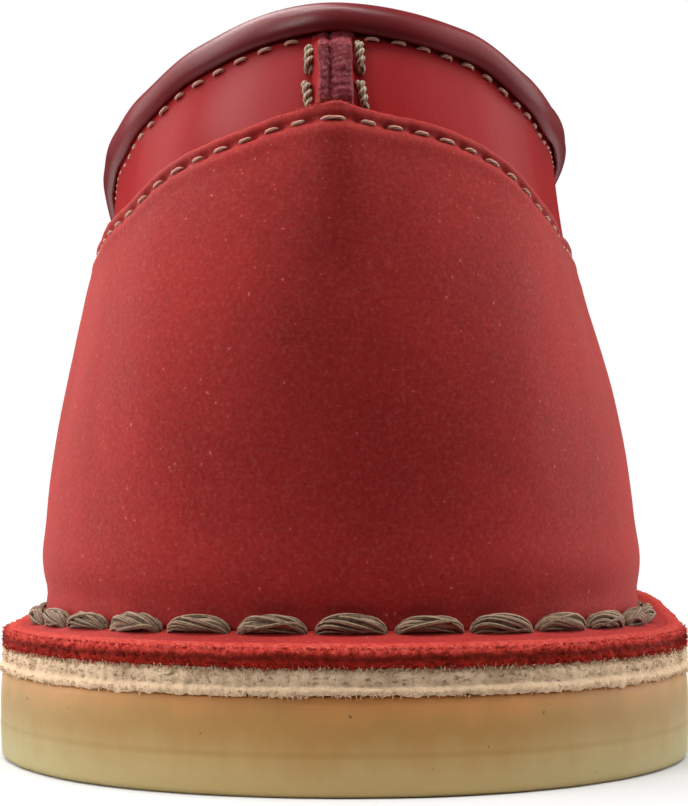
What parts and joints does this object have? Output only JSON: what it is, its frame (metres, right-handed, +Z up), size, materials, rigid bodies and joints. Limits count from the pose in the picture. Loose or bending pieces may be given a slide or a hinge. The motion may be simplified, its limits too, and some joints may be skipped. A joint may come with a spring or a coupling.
{
  "type": "lace-up shoe",
  "caption": "Low left lace-up shoe with stitched-down leather upper, raised back seam, heel counter, bound collar and a flat crepe sole.",
  "frame": {"origin": "middle of the shoe's outline on the floor, under the sole", "axes": "+Y toward the toe, +X toward the wearer's inner side, +Z up"},
  "size_m": [0.1096, 0.3024, 0.0893],
  "materials": {
    "crepe": "translucent honey crepe, matt",
    "midsole_fibre": "raw fibrous edge",
    "insole_leather": "smooth, worn matt",
    "red_nubuck": "oiled nubuck with a short nap",
    "binding_leather": "folded smooth leather, satin",
    "raw_edge": "cut leather edges, fuzzy",
    "lace_cord": "waxed round cord"
  },
  "bodies": {
    "root": {"outsole": "crepe", "midsole": "midsole_fibre", "insole": "insole_leather", "upper": "red_nubuck", "quarter_outer": "red_nubuck", "quarter_inner": "red_nubuck", "heel_counter": "red_nubuck", "collar_binding": "binding_leather", "back_seam": "raw_edge", "tongue": "red_nubuck", "lace": "lace_cord"}
  },
  "joints": []
}
